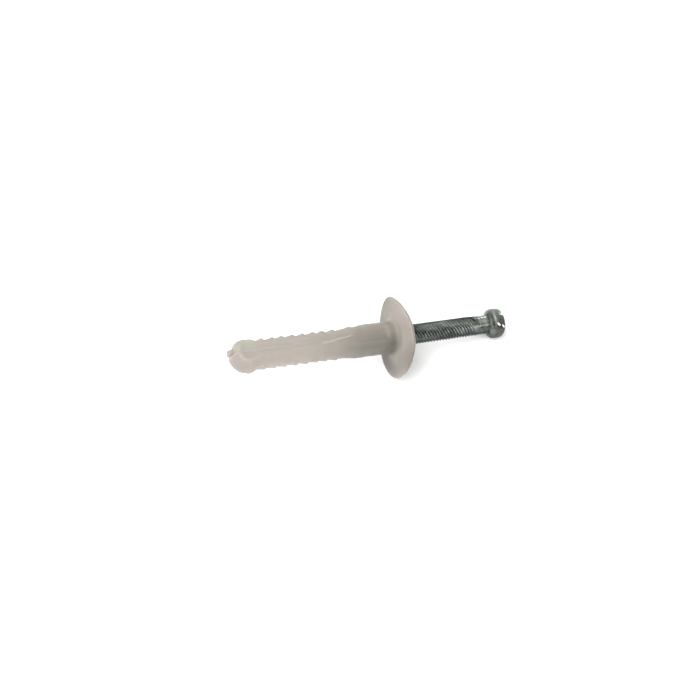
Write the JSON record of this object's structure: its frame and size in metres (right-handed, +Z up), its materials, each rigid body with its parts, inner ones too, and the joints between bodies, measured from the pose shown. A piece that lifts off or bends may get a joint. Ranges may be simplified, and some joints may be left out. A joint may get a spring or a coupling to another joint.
{
  "type": "nylon wall plug",
  "caption": "Nail-in wall plug: mushroom-headed, barbed and split nylon body with a slotted steel drive screw standing part way out, to be hammered home in masonry.",
  "frame": {"origin": "middle of the underside of the box around both pieces as they lie, on the surface that carries them", "axes": "+Z up; +X along the fixing, seen from above, from the plug's tip to the screw's head; the axis dips 12.5 degrees towards +X, because the fixing lies on the rim of the mushroom head and the rim of the screw's head; +Y completes the right-handed frame"},
  "size_m": [0.0538, 0.0154, 0.0168],
  "materials": {
    "nylon": "natural translucent nylon, waxy, as moulded",
    "zinc_plated_steel": "clear zinc plating on carbon steel"
  },
  "bodies": {
    "plug": {"plug_body": "nylon"},
    "screw": {"drive_screw": "zinc_plated_steel"}
  },
  "joints": [
    {"name": "screw_drive", "type": "slide", "parent": "plug", "child": "screw", "axis": [-0.9763, 0, 0.2164], "range_m": [0, 0.0167], "deforming": ["plug_body"]}
  ]
}
